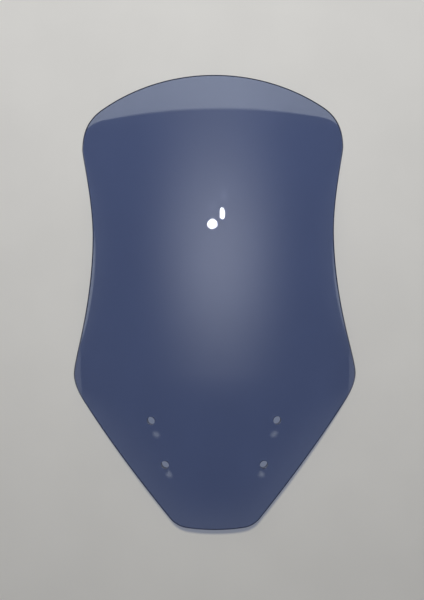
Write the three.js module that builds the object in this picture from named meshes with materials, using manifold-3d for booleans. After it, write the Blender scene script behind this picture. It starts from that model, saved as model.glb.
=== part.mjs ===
// Motorcycle windscreen: one heat-formed sheet of tinted clear plastic with four drilled fixing holes.
//
// Millimetres, +Z up. The screen lies on its hollow side: +Z is the side that meets the wind, +Y runs
// towards the top edge and the origin is under the middle of the screen, on the surface it lies on.

import * as THREE from 'three';
import { mergeVertices } from 'three/addons/utils/BufferGeometryUtils.js';
import Module from 'manifold-3d';

// ---- outline of the screen; heights are measured up from the bottom edge ----
const SCREEN_LENGTH = 461;
const FOOT_WIDTH = 80; // across the bottom, where the slanting edges would meet the bottom edge
const FOOT_BOW_RADIUS = 300; // slight curve of the bottom edge
const FOOT_CORNER_REACH = 11; // how far each foot corner's rounding reaches along both edges
const SHOULDER_WIDTH = 306; // the widest place
const SHOULDER_HEIGHT = 157;
const SHOULDER_KNEE_DROP = 12; // the slanting edge aims this far below the widest place
const SHOULDER_EASE = 20; // length of slanting edge taken up by the shoulder's rounding
const SLANT_HOLLOW = 2.5; // how far the middle of a slanting edge bows in from a straight line
const WAIST_WIDTH = 254; // the narrowest place
const WAIST_HEIGHT = 304;
const BROW_WIDTH = 284; // the widest place above the waist
const BROW_HEIGHT = 402;
const TOP_EDGE_RADIUS = 335;
const TOP_CORNER_REACH = 24; // how far the top corner's rounding reaches along the top edge

// ---- fullness of the outline's curves; each is a share of the stretch that it shapes ----
const SHOULDER_LEAD = 0.12; // more keeps the side upright for longer above the shoulder
const WAIST_LEAD_BELOW = 0.52;
const WAIST_LEAD_ABOVE = 0.41;
const BROW_LEAD = 0.08;
const BROW_FULLNESS = 0.55; // how far the side keeps upright into the top corner
const TOP_CORNER_FULLNESS = 0.8; // how far the top edge carries on into the top corner

// ---- form of the sheet ----
const SHEET_THICKNESS = 3;
const BEND_RADIUS = 240; // bend across the screen, on its outer face
const CREST_HEIGHT = 166; // where the middle of the screen stands highest
const TOE_DROP = 30; // how far the bottom edge curls down from the crest
const TOE_CURL = 2; // how suddenly it curls: 2 is an even curve, more keeps the middle straighter

// ---- fixing holes, drilled square to the sheet ----
const UPPER_HOLE_PITCH = 125;
const UPPER_HOLE_HEIGHT = 117.5;
const LOWER_HOLE_PITCH = 98.5;
const LOWER_HOLE_HEIGHT = 72.5;
const HOLE_DIAMETER = 8;
const DRILL_OVERRUN = 5; // how far the drill passes each face

// ---- fineness ----
const HOLE_SEGMENTS = 48;
const TOP_STEPS = 9; // columns of the sheet from its middle line to the start of a corner
const CORNER_STEPS = 2;
const SLANT_STEPS = 12;
const SHOULDER_STEPS = 4;
const LOWER_FLANK_STEPS = 8;
const UPPER_FLANK_STEPS = 6;
const FOOT_CORNER_SPLIT = 0.5; // share of a foot corner that belongs to the bottom edge
const TOP_CORNER_SPLIT = 0.55; // share of a top corner that belongs to the side
const SLOPE_STEP = 0.01; // distance over which a slope is measured
const WELD_DISTANCE = 1e-4;

const HALF_LENGTH = SCREEN_LENGTH / 2;
const crestY = CREST_HEIGHT - HALF_LENGTH;

// How far an arc of the given radius falls away at a distance from its crest.
const fall = (radius, distance) => radius - Math.sqrt(radius * radius - distance * distance);

// The shoulders and the brow both touch the surface that the screen lies on.
const crestRise = fall(BEND_RADIUS, SHOULDER_WIDTH / 2);
const browRise = fall(BEND_RADIUS, BROW_WIDTH / 2);
const browShare = (BROW_HEIGHT - CREST_HEIGHT) / (SCREEN_LENGTH - CREST_HEIGHT);
const topDrop = (crestRise - browRise) / browShare ** 2;

// Height of the outer face above the surface that the screen lies on.
function outerHeight(x, y) {
	const above = Math.max(y - crestY, 0) / (HALF_LENGTH - crestY);
	const below = Math.max(crestY - y, 0) / (HALF_LENGTH + crestY);
	const middle = crestRise + SHEET_THICKNESS - topDrop * above ** 2 - TOE_DROP * below ** TOE_CURL;
	return middle - fall(BEND_RADIUS, x);
}

// Direction square to the outer face, away from the hollow side.
function outerNormal(x, y) {
	const rise = (dx, dy) => outerHeight(x + dx, y + dy) - outerHeight(x - dx, y - dy);
	const slopeX = rise(SLOPE_STEP, 0) / (2 * SLOPE_STEP);
	const slopeY = rise(0, SLOPE_STEP) / (2 * SLOPE_STEP);
	return new THREE.Vector3(-slopeX, -slopeY, 1).normalize();
}

// ---- outline: the right half, from the middle of the bottom edge to the middle of the top edge ----

const at = (width, height) => new THREE.Vector2(width / 2, height - HALF_LENGTH);

// Points along a run of curves, each given as [curve, from, to, steps].
function pointsAlong(run) {
	const points = [run[0][0].getPoint(run[0][1])];
	for (const [curve, from, to, steps] of run) {
		for (let i = 1; i <= steps; i++) {
			points.push(curve.getPoint(from + ((to - from) * i) / steps));
		}
	}
	return points;
}

function outlineCurves() {
	const footCorner = at(FOOT_WIDTH, fall(FOOT_BOW_RADIUS, FOOT_WIDTH / 2));
	const knee = at(SHOULDER_WIDTH, SHOULDER_HEIGHT - SHOULDER_KNEE_DROP);
	const slant = knee.clone().sub(footCorner);
	const slantLength = slant.length();
	const inward = new THREE.Vector2(-slant.y, slant.x).divideScalar(slantLength);
	const slantPull = footCorner.clone().lerp(knee, 0.5).addScaledVector(inward, 2 * SLANT_HOLLOW);
	const slantEdge = new THREE.QuadraticBezierCurve(footCorner, slantPull, knee);
	const slantFrom = FOOT_CORNER_REACH / slantLength;
	const slantTo = 1 - SHOULDER_EASE / slantLength;
	const footInner = at(0, 0);
	footInner.x = footCorner.x - FOOT_CORNER_REACH;
	footInner.y += fall(FOOT_BOW_RADIUS, footInner.x);
	const footOuter = slantEdge.getPoint(slantFrom);
	const kneeStart = slantEdge.getPoint(slantTo);

	const shoulder = at(SHOULDER_WIDTH, SHOULDER_HEIGHT);
	const waist = at(WAIST_WIDTH, WAIST_HEIGHT);
	const brow = at(BROW_WIDTH, BROW_HEIGHT);
	const lowerFlank = waist.y - shoulder.y;
	const upperFlank = brow.y - waist.y;
	const raised = (point, rise) => new THREE.Vector2(point.x, point.y + rise);

	const topInner = at(BROW_WIDTH, SCREEN_LENGTH);
	topInner.x -= TOP_CORNER_REACH;
	topInner.y -= fall(TOP_EDGE_RADIUS, topInner.x);
	const topSlope = topInner.x / Math.sqrt(TOP_EDGE_RADIUS ** 2 - topInner.x ** 2);
	const cornerPull = TOP_CORNER_REACH * TOP_CORNER_FULLNESS;
	const topHandle = new THREE.Vector2(topInner.x + cornerPull, topInner.y - cornerPull * topSlope);
	const browHandle = raised(brow, (topHandle.y - brow.y) * BROW_FULLNESS);

	return {
		footEdge: new THREE.EllipseCurve(0, FOOT_BOW_RADIUS - HALF_LENGTH, FOOT_BOW_RADIUS, FOOT_BOW_RADIUS,
			-Math.PI / 2, -Math.PI / 2 + Math.asin(footInner.x / FOOT_BOW_RADIUS)),
		footCorner: new THREE.QuadraticBezierCurve(footInner, footCorner, footOuter),
		slantEdge,
		slantFrom,
		slantTo,
		shoulder: new THREE.QuadraticBezierCurve(kneeStart, knee, shoulder),
		lowerFlank: new THREE.CubicBezierCurve(shoulder, raised(shoulder, lowerFlank * SHOULDER_LEAD),
			raised(waist, -lowerFlank * WAIST_LEAD_BELOW), waist),
		upperFlank: new THREE.CubicBezierCurve(waist, raised(waist, upperFlank * WAIST_LEAD_ABOVE),
			raised(brow, -upperFlank * BROW_LEAD), brow),
		topCorner: new THREE.CubicBezierCurve(brow, browHandle, topHandle, topInner),
		topEdge: new THREE.EllipseCurve(0, HALF_LENGTH - TOP_EDGE_RADIUS, TOP_EDGE_RADIUS, TOP_EDGE_RADIUS,
			Math.PI / 2, Math.PI / 2 - Math.asin(topInner.x / TOP_EDGE_RADIUS), true),
	};
}

const curves = outlineCurves();
const bottomPoints = pointsAlong([
	[curves.footEdge, 0, 1, TOP_STEPS],
	[curves.footCorner, 0, FOOT_CORNER_SPLIT, CORNER_STEPS],
]);
const sidePoints = pointsAlong([
	[curves.footCorner, FOOT_CORNER_SPLIT, 1, CORNER_STEPS],
	[curves.slantEdge, curves.slantFrom, curves.slantTo, SLANT_STEPS],
	[curves.shoulder, 0, 1, SHOULDER_STEPS],
	[curves.lowerFlank, 0, 1, LOWER_FLANK_STEPS],
	[curves.upperFlank, 0, 1, UPPER_FLANK_STEPS],
	[curves.topCorner, 0, TOP_CORNER_SPLIT, CORNER_STEPS + 1],
]);
const topPoints = pointsAlong([
	[curves.topEdge, 0, 1, TOP_STEPS],
	[curves.topCorner, 1, TOP_CORNER_SPLIT, CORNER_STEPS],
]);

// ---- solids ----

const wasm = await Module();
wasm.setup();

function toSolid(geometry) {
	const bare = geometry.clone();
	bare.deleteAttribute('normal');
	bare.deleteAttribute('uv');
	const merged = mergeVertices(bare, WELD_DISTANCE);
	const mesh = new wasm.Mesh({
		numProp: 3,
		vertProperties: new Float32Array(merged.attributes.position.array),
		triVerts: new Uint32Array(merged.index.array),
	});
	return new wasm.Manifold(mesh);
}

function toGeometry(solid) {
	const mesh = solid.getMesh();
	const geometry = new THREE.BufferGeometry();
	geometry.setAttribute('position', new THREE.BufferAttribute(mesh.vertProperties, 3));
	geometry.setIndex(new THREE.BufferAttribute(mesh.triVerts, 1));
	geometry.computeVertexNormals();
	return geometry;
}

// The sheet starts as a flat box of small cells. Each cell corner moves to its place inside the outline
// and then onto the bent surface, the lower face one sheet thickness in from the upper one.
function blankSheet() {
	const columns = bottomPoints.length - 1;
	const rows = sidePoints.length - 1;
	const geometry = new THREE.BoxGeometry(2 * columns, rows, 1, 2 * columns, rows, 1);
	const corners = geometry.attributes.position;
	const bottomEnd = bottomPoints[columns];
	const topEnd = topPoints[columns];
	const mix = THREE.MathUtils.lerp;
	for (let i = 0; i < corners.count; i++) {
		const column = Math.round(corners.getX(i));
		const side = sidePoints[Math.round(corners.getY(i) + rows / 2)];
		const bottom = bottomPoints[Math.abs(column)];
		const top = topPoints[Math.abs(column)];
		const up = (side.y - bottomEnd.y) / (topEnd.y - bottomEnd.y);
		const outward = top.x / topEnd.x;
		const half = mix(bottom.x, top.x, up) + outward * (side.x - mix(bottomEnd.x, topEnd.x, up));
		const x = Math.sign(column) * half;
		const y = side.y + mix(bottom.y - bottomEnd.y, top.y - topEnd.y, up);
		const depth = corners.getZ(i) > 0 ? 0 : SHEET_THICKNESS;
		const inward = outerNormal(x, y).multiplyScalar(-depth);
		corners.setXYZ(i, x + inward.x, y + inward.y, outerHeight(x, y) + inward.z);
	}
	return geometry;
}

// Each hole's drill, on the outer face and square to the sheet there.
function holeDrills() {
	const rows = [
		[UPPER_HOLE_PITCH, UPPER_HOLE_HEIGHT],
		[LOWER_HOLE_PITCH, LOWER_HOLE_HEIGHT],
	];
	const drills = [];
	for (const [pitch, height] of rows) {
		for (const x of [-pitch / 2, pitch / 2]) {
			const y = height - HALF_LENGTH;
			const radius = HOLE_DIAMETER / 2;
			const reach = 2 * (SHEET_THICKNESS + DRILL_OVERRUN);
			const drill = new THREE.CylinderGeometry(radius, radius, reach, HOLE_SEGMENTS);
			drill.rotateX(Math.PI / 2);
			const turn = new THREE.Quaternion();
			turn.setFromUnitVectors(new THREE.Vector3(0, 0, 1), outerNormal(x, y));
			drill.applyQuaternion(turn);
			drill.translate(x, y, outerHeight(x, y));
			drills.push(toSolid(drill));
		}
	}
	return drills;
}

function screenPanel() {
	let sheet = toSolid(blankSheet());
	for (const drill of holeDrills()) {
		sheet = sheet.subtract(drill);
	}
	return toGeometry(sheet);
}

// ---- material ----

const tintedPlastic = new THREE.MeshStandardMaterial({
	color: 0x3a4468, roughness: 0.06, metalness: 0, transparent: true, opacity: 0.75,
});

// ---- the part ----

const windscreen = new THREE.Group();
const panel = new THREE.Mesh(screenPanel(), tintedPlastic);
panel.name = 'screen_panel';
windscreen.add(panel);

// The lowest points of the sheet's edge rest on the surface that the screen lies on.
const lowest = new THREE.Box3().setFromObject(windscreen, true).min.z;
windscreen.position.z = -lowest;

export default windscreen;
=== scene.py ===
"""Motorcycle windscreen: one bent sheet of tinted clear plastic with four drilled fixing holes."""

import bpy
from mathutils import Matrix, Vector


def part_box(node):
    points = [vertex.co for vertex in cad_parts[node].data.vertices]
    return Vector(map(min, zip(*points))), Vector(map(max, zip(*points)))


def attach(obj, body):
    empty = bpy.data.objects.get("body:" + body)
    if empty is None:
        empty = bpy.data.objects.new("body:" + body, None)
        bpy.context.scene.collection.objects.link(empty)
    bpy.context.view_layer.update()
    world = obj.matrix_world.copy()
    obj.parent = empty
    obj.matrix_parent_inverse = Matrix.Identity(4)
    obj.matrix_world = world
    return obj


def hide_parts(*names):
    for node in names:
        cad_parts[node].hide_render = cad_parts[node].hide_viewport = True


bl_info = {
    "name": "Motorcycle Windscreen",
    "version": (1, 0, 0),
    "blender": (4, 5, 0),
    "location": "3D View > Sidebar > Windscreen",
    "description": "Builds a tinted one-piece windscreen around a packed frame",
    "category": "Add Mesh",
}

import math

import bmesh
import bpy
from bpy.props import FloatProperty, FloatVectorProperty, PointerProperty
from mathutils import Matrix, Vector

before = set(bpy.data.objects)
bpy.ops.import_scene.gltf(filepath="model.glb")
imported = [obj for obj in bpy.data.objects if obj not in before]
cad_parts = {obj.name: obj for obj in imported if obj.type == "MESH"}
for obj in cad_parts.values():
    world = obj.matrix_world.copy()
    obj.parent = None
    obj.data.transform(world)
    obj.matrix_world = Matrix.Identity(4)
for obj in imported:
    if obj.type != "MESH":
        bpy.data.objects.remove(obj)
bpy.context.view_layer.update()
PANEL_LOW, PANEL_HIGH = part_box("screen_panel")
BODY = "root"

# Shares of the way that each handle of the side's curves reaches.
SHOULDER_LEAD = 0.12
WAIST_LEAD_BELOW = 0.52
WAIST_LEAD_ABOVE = 0.41
BROW_LEAD = 0.08
BROW_FULLNESS = 0.55
TOP_CORNER_FULLNESS = 0.8

HOLE_MARGIN = 0.003  # at least this much is joined up round each hole, in metres
RIM_ANGLE = math.radians(60)  # an edge turned more than this is a rim
SLOPE_STEP = 1e-5

ACRYLIC_IOR = 1.49
FILL_ANGLE = math.radians(120)
GLINT_DISTANCE = 0.45
GLINT_POWER = 0.09
ROUND_LAMP_SIZE = (0.057, 0.022)
LONG_LAMP_SIZE = (0.028, 0.026)

GLOW_OVAL = (0.80, 1.45, 1.0)  # wider across the screen, shorter along it
GLOW_WAY = Vector((0.045, 0.27, 1)).normalized()
GLOW_TIGHTNESS = 11.0
SKY_MIRRORED = 0.08
SKY_SEEN = 0.29
FAR_FLOOR_STARTS, FAR_FLOOR_FULL = 0.7, 2.6
FAR_FLOOR_LIGHT = (0.255, 0.252, 0.245)


def length(name, description, default):
    """A size in metres, shown in the scene's own units."""
    return FloatProperty(name=name, description=description, default=default, unit="LENGTH", precision=4)


def colour(name, description, default):
    """A colour picked in linear light."""
    return FloatVectorProperty(
        name=name, description=description, default=default, subtype="COLOR", min=0, max=1
    )


# ---------------------------------------------------------------- settings


class ScreenSizes(bpy.types.PropertyGroup):
    """Outline and bend of the sheet. Heights are measured up from the bottom edge."""

    foot_width: length("Foot width", "Where the slanting edges would meet the bottom edge", 0.080)
    foot_bow_radius: length("Foot bow", "Radius of the bottom edge's slight curve", 0.300)
    foot_corner_reach: length("Foot corner", "How far a foot corner's rounding reaches", 0.011)
    shoulder_height: length("Shoulder height", "Height of the widest place", 0.157)
    shoulder_knee_drop: length("Knee drop", "How far below it the slanting edge aims", 0.012)
    shoulder_ease: length("Shoulder ease", "Slanting edge taken up by the rounding", 0.020)
    slant_hollow: length("Slant hollow", "How far a slanting edge bows in", 0.0025)
    waist_width: length("Waist width", "Width at the narrowest place", 0.254)
    waist_height: length("Waist height", "Height of the narrowest place", 0.304)
    brow_width: length("Brow width", "Width at the widest place above the waist", 0.284)
    brow_height: length("Brow height", "Height of that place", 0.402)
    top_edge_radius: length("Top edge", "Radius of the top edge", 0.335)
    top_corner_reach: length("Top corner", "How far its rounding reaches along the top edge", 0.024)
    thickness: length("Thickness", "Thickness of the sheet", 0.003)
    bend_radius: length("Bend", "Radius of the bend across the screen", 0.240)
    crest_height: length("Crest height", "Where the middle of the screen stands highest", 0.166)
    toe_drop: length("Toe drop", "How far the bottom edge curls down", 0.030)
    edge_rounding: length("Edge rounding", "Rounding of the polished edge", 0.0009)
    hole_rounding: length("Hole rounding", "Rounding of the drilled holes' edges", 0.0004)
    cell: length("Cell", "Largest cell of the sheet's mesh", 0.0026)


class HoleSizes(bpy.types.PropertyGroup):
    """The four fixing holes, drilled square to the sheet."""

    upper_pitch: length("Upper pitch", "Distance between the upper holes", 0.125)
    upper_height: length("Upper height", "Height of the upper holes", 0.1175)
    lower_pitch: length("Lower pitch", "Distance between the lower holes", 0.0985)
    lower_height: length("Lower height", "Height of the lower holes", 0.0725)
    diameter: length("Diameter", "Diameter of the holes", 0.008)


class Finishes(bpy.types.PropertyGroup):
    """Colours of the sheet and of the floor."""

    tint: colour("Tint", "What the sheet lets through", (0.315, 0.372, 0.548))
    edge: colour("Edge", "The sheet's polished edge", (0.090, 0.100, 0.135))
    floor: colour("Floor", "The pale floor", (0.80, 0.79, 0.765))


class StageSettings(bpy.types.PropertyGroup):
    """Camera, lamps and floor."""

    lens: FloatProperty(name="Lens", description="Focal length in millimetres", default=27.25)
    camera_place: FloatVectorProperty(
        name="Camera", description="Where the camera stands", default=(0.0058, 0.0044, 0.4959), unit="LENGTH"
    )
    camera_turn: FloatVectorProperty(
        name="Camera turn", description="How the camera is turned from looking straight down",
        default=tuple(math.radians(a) for a in (0.22, 0.86, -0.47)), subtype="EULER",
    )
    lamp_place: FloatVectorProperty(
        name="Lamp", description="Where the main lamp hangs", default=(-0.019, 0.773, 1.54), unit="LENGTH"
    )
    lamp_aim: FloatVectorProperty(
        name="Lamp aim", description="Where the main lamp points", default=(0.0, 0.50, 0.0), unit="LENGTH"
    )
    lamp_size: length("Lamp size", "Diameter of the main lamp", 0.14)
    lamp_power: FloatProperty(name="Lamp power", description="Power of the main lamp", default=18.2)
    fill_strength: FloatProperty(name="Fill", description="Strength of the wide soft light", default=0.42)
    glow: FloatProperty(name="Glow", description="Brightness of the soft glow overhead", default=2.1)
    round_glint: FloatVectorProperty(
        name="Round glint", description="Where the sheet mirrors the round lamp", size=2,
        default=(0.0, 0.0796), unit="LENGTH",
    )
    long_glint: FloatVectorProperty(
        name="Long glint", description="Where the sheet mirrors the long lamp", size=2,
        default=(0.0098, 0.0897), unit="LENGTH",
    )
    floor_size: length("Floor size", "Side of the square floor", 16.0)


# ---------------------------------------------------------------- the sheet's form


def fall(radius, distance):
    """How far an arc of that radius falls away at a distance from its crest."""
    return radius - math.sqrt(radius * radius - distance * distance)


def bezier(points, share):
    """The point at a share of the way along the curve with these control points."""
    while len(points) > 1:
        points = [a.lerp(b, share) for a, b in zip(points, points[1:])]
    return points[0]


def along(points, first, last, steps):
    """Points along that curve from one share to another, without the first one."""
    return [bezier(points, first + (last - first) * i / steps) for i in range(1, steps + 1)]


class Form:
    """The outer face of the sheet, and its outline, from the sizes and the CAD frame."""

    def __init__(self, sizes):
        self.sizes = sizes
        self.half_length = (PANEL_HIGH.y - PANEL_LOW.y) / 2
        self.shoulder_width = PANEL_HIGH.x - PANEL_LOW.x
        self.crest_y = sizes.crest_height - self.half_length
        shoulder_fall = fall(sizes.bend_radius, self.shoulder_width / 2)
        brow_fall = fall(sizes.bend_radius, sizes.brow_width / 2)
        brow_share = (sizes.brow_height - sizes.crest_height) / (self.half_length - self.crest_y)
        self.top_drop = (shoulder_fall - brow_fall) / brow_share**2

    def height(self, x, y):
        """Height of the outer face above the floor."""
        above = max(y - self.crest_y, 0) / (self.half_length - self.crest_y)
        below = max(self.crest_y - y, 0) / (self.half_length + self.crest_y)
        middle = PANEL_HIGH.z - self.top_drop * above**2 - self.sizes.toe_drop * below**2
        return middle - fall(self.sizes.bend_radius, x)

    def point(self, x, y):
        return Vector((x, y, self.height(x, y)))

    def normal(self, x, y):
        """Direction square to the outer face."""
        step = SLOPE_STEP
        slope_x = (self.height(x + step, y) - self.height(x - step, y)) / (2 * step)
        slope_y = (self.height(x, y + step) - self.height(x, y - step)) / (2 * step)
        return Vector((-slope_x, -slope_y, 1)).normalized()

    def place(self, x, y):
        """A frame on the outer face with its Z square to the sheet."""
        turn = Vector((0, 0, 1)).rotation_difference(self.normal(x, y))
        return Matrix.Translation(self.point(x, y)) @ turn.to_matrix().to_4x4()

    def at(self, width, height):
        return Vector((width / 2, height - self.half_length, 0))

    def outline(self):
        """The right half of the outline: points of the bottom edge, of the side and of the top edge."""
        s = self.sizes
        foot = self.at(s.foot_width, fall(s.foot_bow_radius, s.foot_width / 2))
        knee = self.at(self.shoulder_width, s.shoulder_height - s.shoulder_knee_drop)
        slant_length = (knee - foot).length
        inward = Vector((foot.y - knee.y, knee.x - foot.x, 0)) / slant_length
        slant = [foot, foot.lerp(knee, 0.5) + inward * 2 * s.slant_hollow, knee]
        slant_from = s.foot_corner_reach / slant_length
        slant_to = 1 - s.shoulder_ease / slant_length
        foot_inner_x = foot.x - s.foot_corner_reach
        foot_inner = self.at(2 * foot_inner_x, fall(s.foot_bow_radius, foot_inner_x))
        foot_corner = [foot_inner, foot, bezier(slant, slant_from)]

        shoulder = self.at(self.shoulder_width, s.shoulder_height)
        waist = self.at(s.waist_width, s.waist_height)
        brow = self.at(s.brow_width, s.brow_height)
        up = Vector((0, 1, 0))
        lower = waist.y - shoulder.y
        upper = brow.y - waist.y
        shoulder_curve = [bezier(slant, slant_to), knee, shoulder]
        lower_flank = [
            shoulder, shoulder + up * lower * SHOULDER_LEAD, waist - up * lower * WAIST_LEAD_BELOW, waist
        ]
        upper_flank = [waist, waist + up * upper * WAIST_LEAD_ABOVE, brow - up * upper * BROW_LEAD, brow]

        top_inner_x = s.brow_width / 2 - s.top_corner_reach
        top_inner = Vector((top_inner_x, self.half_length - fall(s.top_edge_radius, top_inner_x), 0))
        top_slope = top_inner_x / math.sqrt(s.top_edge_radius**2 - top_inner_x**2)
        top_handle = top_inner + Vector((1, -top_slope, 0)) * s.top_corner_reach * TOP_CORNER_FULLNESS
        brow_handle = brow + up * (top_handle.y - brow.y) * BROW_FULLNESS
        top_corner = [brow, brow_handle, top_handle, top_inner]

        def steps(distance):
            return max(2, math.ceil(distance / s.cell))

        across = steps(top_inner_x)
        corner = steps(s.top_corner_reach * 0.7)
        bottom = [
            self.at(2 * x, fall(s.foot_bow_radius, x))
            for x in (foot_inner_x * i / across for i in range(across + 1))
        ]
        bottom += along(foot_corner, 0, 0.5, corner)
        side = [bottom[-1]]
        side += along(foot_corner, 0.5, 1, steps(s.foot_corner_reach))
        side += along(slant, slant_from, slant_to, steps(slant_length - s.shoulder_ease))
        side += along(shoulder_curve, 0, 1, steps(s.shoulder_ease + s.shoulder_knee_drop))
        side += along(lower_flank, 0, 1, steps(lower))
        side += along(upper_flank, 0, 1, steps(upper))
        side += along(top_corner, 0, 0.5, steps(s.top_corner_reach))
        top = [
            Vector((x, self.half_length - fall(s.top_edge_radius, x), 0))
            for x in (top_inner_x * i / across for i in range(across + 1))
        ]
        top += along(top_corner, 1, 0.5, corner)
        return bottom, side, top


def hole_places(form, holes):
    """The frame of each hole."""
    spots = (
        (-holes.upper_pitch / 2, holes.upper_height),
        (holes.upper_pitch / 2, holes.upper_height),
        (-holes.lower_pitch / 2, holes.lower_height),
        (holes.lower_pitch / 2, holes.lower_height),
    )
    return [form.place(x, height - form.half_length) for x, height in spots]


def mirrored_place(form, spot, eye, distance):
    """Where a lamp stands at a distance from a spot on the sheet to be mirrored there towards the eye."""
    point = form.point(*spot)
    sight = (point - Vector(eye)).normalized()
    return point + sight.reflect(form.normal(*spot)) * distance


# ---------------------------------------------------------------- mesh work


def once_each(elements):
    """The elements without repeats, in a fixed order, so that every run makes the same mesh."""
    return list(dict.fromkeys(elements))


def put_in_order(bm):
    """Sorts the mesh's elements by place, because solidify and bevel give them in an order that varies."""
    def place(element):
        corners = [element] if isinstance(element, bmesh.types.BMVert) else element.verts
        return sorted(tuple(vert.co) for vert in corners)

    for elements in (bm.verts, bm.edges, bm.faces):
        for rank, element in enumerate(sorted(elements, key=place)):
            element.index = rank
        elements.sort()


def sharp_edges(bm, angle):
    return [e for e in bm.edges if len(e.link_faces) == 2 and e.calc_face_angle() > angle]


def soften(bm, edges, offset, segments):
    bmesh.ops.bevel(
        bm, geom=edges, offset=offset, segments=segments, profile=0.5, affect="EDGES", material=-1,
        clamp_overlap=True,
    )


def make_piece(name, bm, materials, node):
    """Turns a finished bmesh into a smooth piece that rides on the body and stands for its CAD node."""
    for face in bm.faces:
        face.smooth = True
    mesh = bpy.data.meshes.new(name)
    bm.to_mesh(mesh)
    bm.free()
    for material in materials:
        mesh.materials.append(material)
    piece = bpy.data.objects.new(name, mesh)
    bpy.context.scene.collection.objects.link(piece)
    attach(piece, BODY)
    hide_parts(node)
    return piece


def bend_grid(bm, form):
    """Fills the outline with a grid of cells on the outer face. Gives the vertices by column and row."""
    bottom, side, top = form.outline()
    columns = len(bottom) - 1
    rows = len(side) - 1
    bmesh.ops.create_grid(bm, x_segments=2 * columns, y_segments=rows, size=1)
    cells = {}
    for vert in bm.verts:
        column = round(vert.co.x * columns)
        row = round((vert.co.y + 1) / 2 * rows)
        low, high, edge = bottom[abs(column)], top[abs(column)], side[row]
        up = (edge.y - side[0].y) / (side[-1].y - side[0].y)
        reach = edge.x - bottom[-1].lerp(top[-1], up).x
        x = low.lerp(high, up).x + high.x / top[-1].x * reach
        y = edge.y + (low - bottom[-1]).lerp(high - top[-1], up).y
        vert.co = form.point(math.copysign(x, column), y)
        cells[column, row] = vert
    return cells


def open_hole(bm, form, cells, place, radius):
    """Takes the cells out around a hole and joins the gap's edge to a circle."""
    centre = place.translation
    left = {key for key, vert in cells.items() if vert.is_valid}
    spot = min(left, key=lambda key: (cells[key].co - centre).length_squared)
    column, row = spot
    reach = math.ceil((radius + HOLE_MARGIN) / (cells[column + 1, row].co - cells[spot].co).length)
    patch = [
        cells[column + i, row + j]
        for i in range(-reach, reach + 1)
        for j in range(-reach, reach + 1)
    ]
    inside = set(patch)
    faces = once_each(face for vert in patch for face in vert.link_faces if inside.issuperset(face.verts))
    border = [
        edge for edge in once_each(edge for face in faces for edge in face.edges)
        if sum(face in faces for face in edge.link_faces) == 1
    ]
    bmesh.ops.delete(bm, geom=faces, context="FACES")
    ring = bmesh.ops.create_circle(bm, segments=8 * reach, radius=radius, matrix=place)["verts"]
    for vert in ring:
        vert.co = form.point(vert.co.x, vert.co.y)
    circle = once_each(edge for vert in ring for edge in vert.link_edges)
    bmesh.ops.bridge_loops(bm, edges=border + circle)


def sheet_mesh(form, places, hole_radius):
    """The sheet with its holes, its outer face up, with rounded edges. Edge faces take material 1."""
    sizes = form.sizes
    bm = bmesh.new()
    cells = bend_grid(bm, form)
    for place in places:
        open_hole(bm, form, cells, place, hole_radius)
    bmesh.ops.recalc_face_normals(bm, faces=bm.faces)
    if sum(face.normal.z for face in bm.faces) < 0:
        bmesh.ops.reverse_faces(bm, faces=bm.faces)
    bm.normal_update()
    bmesh.ops.solidify(bm, geom=bm.faces[:], thickness=sizes.thickness)
    bm.normal_update()

    rims = sharp_edges(bm, RIM_ANGLE)
    for face in bm.faces:
        if len(set(face.edges).intersection(rims)) >= 2:
            face.material_index = 1
    centres = [place.translation for place in places]

    def by_hole(edge):
        middle = (edge.verts[0].co + edge.verts[1].co) / 2
        return any((middle - centre).length < 2 * hole_radius for centre in centres)

    hole_rims = [edge for edge in rims if by_hole(edge)]
    outer_rims = [edge for edge in rims if not by_hole(edge)]
    soften(bm, hole_rims, sizes.hole_rounding, 2)
    outer_rims = [edge for edge in outer_rims if edge.is_valid]
    soften(bm, outer_rims, sizes.edge_rounding, 4)
    put_in_order(bm)
    return bm


# ---------------------------------------------------------------- materials


class Link:
    """A node's output, so that sums on it add Math nodes."""

    def __init__(self, nodes, socket):
        self.nodes = nodes
        self.socket = socket

    def _math(self, operation, *values):
        return self.nodes.add("ShaderNodeMath", {"operation": operation}, dict(enumerate(values)))

    def __add__(self, other):
        return self._math("ADD", self, other)

    __radd__ = __add__

    def __mul__(self, other):
        return self._math("MULTIPLY", self, other)

    __rmul__ = __mul__

    def __pow__(self, other):
        return self._math("POWER", self, other)

    def at_least(self, low):
        return self._math("MAXIMUM", self, low)

    def clamped(self, low, high):
        """This value moved from the span low..high to 0..1, with smooth ends."""
        settings = {"interpolation_type": "SMOOTHSTEP"}
        values = {"Value": self, "From Min": low, "From Max": high}
        return self.nodes.add("ShaderNodeMapRange", settings, values)


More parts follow.
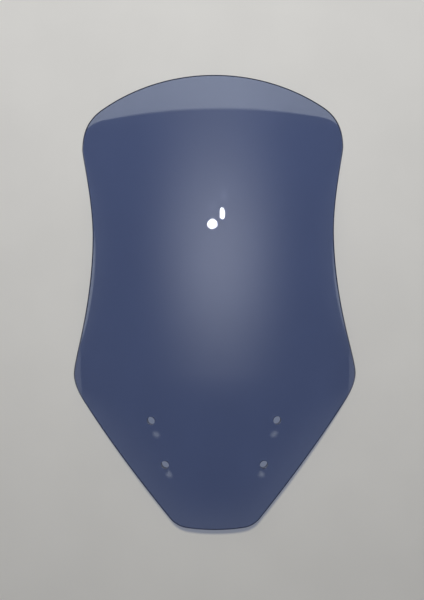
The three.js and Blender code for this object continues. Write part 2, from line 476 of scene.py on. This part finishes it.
class Nodes:
    """Adds nodes to one node tree."""

    def __init__(self, tree):
        self.tree = tree
        tree.nodes.clear()

    def add(self, kind, settings=None, inputs=None, output=0):
        """Adds a node, sets its settings, then its sockets' values or links, and gives one output, if any."""
        node = self.tree.nodes.new(kind)
        for key, value in (settings or {}).items():
            setattr(node, key, value)
        for key, value in (inputs or {}).items():
            if isinstance(value, Link):
                self.tree.links.new(value.socket, node.inputs[key])
            else:
                node.inputs[key].default_value = value
        return Link(self, node.outputs[output]) if node.outputs else None

    def coordinates(self):
        return self.add("ShaderNodeTexCoord", output="Object")

    def noise(self, vector, scale, detail=2.0, roughness=0.5):
        values = {"Vector": vector, "Scale": scale, "Detail": detail, "Roughness": roughness}
        return self.add("ShaderNodeTexNoise", None, values)

    def stretched(self, vector, scale, turn=0.0):
        """Coordinates turned about Z and scaled by a different amount along each axis."""
        values = {"Vector": vector, "Scale": scale, "Rotation": (0, 0, turn)}
        return self.add("ShaderNodeMapping", None, values)

    def mix(self, share, first, second):
        """A colour between two, by a share."""
        values = {0: share, 6: first, 7: second}
        return self.add("ShaderNodeMix", {"data_type": "RGBA"}, values, output=2)

    def bump(self, height, strength, distance):
        values = {"Height": height, "Strength": strength, "Distance": distance}
        return self.add("ShaderNodeBump", None, values)

    def lit_through(self, plastic, tint):
        """The plastic, with light on its way between lamps and floor tinted once by its two faces."""
        per_face = opaque(math.sqrt(channel) for channel in tint)
        clear = self.add("ShaderNodeBsdfTransparent", None, {"Color": per_face})
        bounce_ray = self.add("ShaderNodeLightPath", output="Is Diffuse Ray")
        lit = self.add("ShaderNodeMixShader", None, {0: bounce_ray, 1: plastic, 2: clear})
        shadow_ray = self.add("ShaderNodeLightPath", output="Is Shadow Ray")
        return self.add("ShaderNodeMixShader", None, {0: shadow_ray, 1: lit, 2: clear})

    def surface(self, shader):
        self.add("ShaderNodeOutputMaterial", None, {"Surface": shader})


def new_material(name):
    material = bpy.data.materials.new(name)
    material.use_nodes = True
    return material, Nodes(material.node_tree)


def opaque(tone):
    return (*tone, 1.0)


def scaled(tone, factor):
    return opaque(channel * factor for channel in tone)


def tinted_sheet(finishes):
    """Clear plastic, tinted through, with faint smears, hairline scratches and a slight waviness."""
    material, n = new_material("tinted_sheet")
    place = n.coordinates()
    smears = n.noise(n.stretched(place, (9, 4, 9), 0.5), 1.6, 4, 0.6).clamped(0.46, 0.72)
    scratches = n.noise(n.stretched(place, (60, 1400, 60), 0.35), 1.0, 2).clamped(0.70, 0.78)
    cross_scratches = n.noise(n.stretched(place, (1300, 70, 70), -0.2), 1.0, 2).clamped(0.71, 0.79)
    specks = n.noise(place, 900, 1).clamped(0.74, 0.80)
    marks = scratches + cross_scratches
    waves = n.noise(place, 5.5, 1)
    tint = n.mix(smears * 0.25, opaque(finishes.tint), scaled(finishes.tint, 1.12))
    plastic = n.add("ShaderNodeBsdfPrincipled", None, {
        "Base Color": tint,
        "Roughness": 0.022 + smears * 0.006 + marks * 0.02 + specks * 0.1,
        "IOR": ACRYLIC_IOR,
        "Transmission Weight": 1.0,
        "Normal": n.bump(waves + marks * 0.0008, 0.25, 0.002),
    })
    n.surface(n.lit_through(plastic, finishes.tint))
    return material


def polished_edge(finishes):
    """The sheet's cut edge: the tint is seen through its whole depth, so it looks nearly black."""
    material, n = new_material("polished_edge")
    place = n.coordinates()
    drag = n.noise(n.stretched(place, (300, 300, 2500)), 1.0, 2)
    tone = n.mix(drag.clamped(0.3, 0.7), opaque(finishes.edge), scaled(finishes.edge, 1.8))
    plastic = n.add("ShaderNodeBsdfPrincipled", None, {
        "Base Color": tone,
        "Roughness": 0.16 + drag * 0.14,
        "IOR": ACRYLIC_IOR,
        "Normal": n.bump(drag, 0.15, 0.0003),
    })
    n.surface(n.lit_through(plastic, finishes.tint))
    return material


def floor_material(finishes):
    """Plain pale plaster, slightly uneven in tone. Far off it is lit from within, so it stays pale."""
    material, n = new_material("pale_floor")
    material.cycles.emission_sampling = "NONE"
    place = n.coordinates()
    distance = n.add("ShaderNodeVectorMath", {"operation": "LENGTH"}, {0: place}, output="Value")
    far = distance.clamped(FAR_FLOOR_STARTS, FAR_FLOOR_FULL)
    blotches = n.noise(place, 9, 3).clamped(0.3, 0.7)
    grain = n.noise(place, 260, 3)
    n.surface(n.add("ShaderNodeBsdfPrincipled", None, {
        "Base Color": n.mix(blotches, opaque(finishes.floor), scaled(finishes.floor, 0.965)),
        "Roughness": 0.85,
        "Specular IOR Level": 0.2,
        "Normal": n.bump(grain, 0.1, 0.0005),
        "Emission Color": n.mix(far, opaque((0, 0, 0)), opaque(FAR_FLOOR_LIGHT)),
        "Emission Strength": 1.0,
    }))
    return material


# ---------------------------------------------------------------- operators


class WINDSCREEN_OT_stage(bpy.types.Operator):
    """Add the camera, the lamps, the soft sky and the pale floor"""

    bl_idname = "windscreen.stage"
    bl_label = "Stage"

    def execute(self, context):
        scene = context.scene
        stage = scene.windscreen_stage
        camera = bpy.data.objects.new("camera", bpy.data.cameras.new("camera"))
        camera.data.lens = stage.lens
        camera.data.clip_start = 0.01
        camera.location = stage.camera_place
        camera.rotation_euler = stage.camera_turn
        scene.collection.objects.link(camera)
        scene.camera = camera
        scene.view_settings.view_transform = "Standard"

        main = self.add_lamp(scene, "main_lamp", stage.lamp_place, (stage.lamp_size,) * 2, stage.lamp_power)
        way = Vector(stage.lamp_aim) - Vector(stage.lamp_place)
        main.rotation_euler = way.to_track_quat("-Z", "Y").to_euler()
        soft = bpy.data.lights.new("fill_light", "SUN")
        soft.energy = stage.fill_strength
        soft.angle = FILL_ANGLE
        fill = bpy.data.objects.new("fill_light", soft)
        scene.collection.objects.link(fill)
        for lamp in (main, fill):
            lamp.visible_glossy = False
            lamp.visible_transmission = False
        form = Form(scene.windscreen_screen)
        for name, spot, size in (
            ("round_lamp", stage.round_glint, ROUND_LAMP_SIZE),
            ("long_lamp", stage.long_glint, LONG_LAMP_SIZE),
        ):
            place = mirrored_place(form, spot, stage.camera_place, GLINT_DISTANCE)
            glint = self.add_lamp(scene, name, place, size, GLINT_POWER)
            glint.visible_diffuse = False
        self.add_sky(scene)

        bm = bmesh.new()
        bmesh.ops.create_grid(bm, x_segments=1, y_segments=1, size=stage.floor_size / 2)
        mesh = bpy.data.meshes.new("floor")
        bm.to_mesh(mesh)
        bm.free()
        mesh.materials.append(floor_material(scene.windscreen_finishes))
        floor = bpy.data.objects.new("floor", mesh)
        scene.collection.objects.link(floor)
        return {"FINISHED"}

    def add_lamp(self, scene, name, place, size, power):
        """A soft oval lamp that faces straight down until it is turned."""
        light = bpy.data.lights.new(name, "AREA")
        light.shape = "ELLIPSE"
        light.size, light.size_y = size
        light.energy = power
        lamp = bpy.data.objects.new(name, light)
        lamp.location = place
        lamp.visible_camera = False
        scene.collection.objects.link(lamp)
        return lamp

    def add_sky(self, scene):
        """Pale surroundings that the sheet mirrors as dim, with one soft glow overhead."""
        world = bpy.data.worlds.new("soft_sky")
        world.use_nodes = True
        scene.world = world
        world.cycles_visibility.diffuse = False
        n = Nodes(world.node_tree)
        direction = n.add("ShaderNodeTexCoord", output="Generated")
        oval = n.stretched(direction, GLOW_OVAL)
        way = n.add("ShaderNodeVectorMath", {"operation": "NORMALIZE"}, {0: oval})
        dot = {"operation": "DOT_PRODUCT"}
        facing = n.add("ShaderNodeVectorMath", dot, {0: way, 1: GLOW_WAY}, output="Value")
        glow = facing.at_least(0.0) ** GLOW_TIGHTNESS
        seen = n.add("ShaderNodeLightPath", output="Is Camera Ray")
        strength = SKY_MIRRORED + glow * scene.windscreen_stage.glow + seen * SKY_SEEN
        background = n.add("ShaderNodeBackground", None, {"Color": (1, 0.99, 0.97, 1), "Strength": strength})
        n.add("ShaderNodeOutputWorld", None, {"Surface": background})


class WINDSCREEN_OT_sheet(bpy.types.Operator):
    """Make the bent, tinted sheet with its four holes and polished edge"""

    bl_idname = "windscreen.sheet"
    bl_label = "Sheet"

    def execute(self, context):
        scene = context.scene
        form = Form(scene.windscreen_screen)
        holes = scene.windscreen_holes
        finishes = scene.windscreen_finishes
        bm = sheet_mesh(form, hole_places(form, holes), holes.diameter / 2)
        materials = [tinted_sheet(finishes), polished_edge(finishes)]
        make_piece("tinted_screen", bm, materials, "screen_panel")
        return {"FINISHED"}


class WINDSCREEN_PT_panel(bpy.types.Panel):
    """Lists the sheet, the stage and their sizes"""

    bl_idname = "WINDSCREEN_PT_panel"
    bl_label = "Windscreen"
    bl_space_type = "VIEW_3D"
    bl_region_type = "UI"
    bl_category = "Windscreen"

    def draw(self, context):
        layout = self.layout
        for operator in OPERATORS:
            layout.operator(operator.bl_idname)
        for key in GROUPS:
            group = getattr(context.scene, key)
            box = layout.box()
            for name in group.__annotations__:
                box.prop(group, name)


OPERATORS = (WINDSCREEN_OT_stage, WINDSCREEN_OT_sheet)
GROUPS = {
    "windscreen_screen": ScreenSizes,
    "windscreen_holes": HoleSizes,
    "windscreen_finishes": Finishes,
    "windscreen_stage": StageSettings,
}


def register():
    for key, group in GROUPS.items():
        bpy.utils.register_class(group)
        setattr(bpy.types.Scene, key, PointerProperty(type=group))
    for cls in (*OPERATORS, WINDSCREEN_PT_panel):
        bpy.utils.register_class(cls)


def unregister():
    for cls in (WINDSCREEN_PT_panel, *reversed(OPERATORS)):
        bpy.utils.unregister_class(cls)
    for key, group in reversed(GROUPS.items()):
        delattr(bpy.types.Scene, key)
        bpy.utils.unregister_class(group)


def main():
    register()
    bpy.ops.windscreen.stage()
    bpy.ops.windscreen.sheet()
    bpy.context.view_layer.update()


if __name__ == "__main__":
    main()
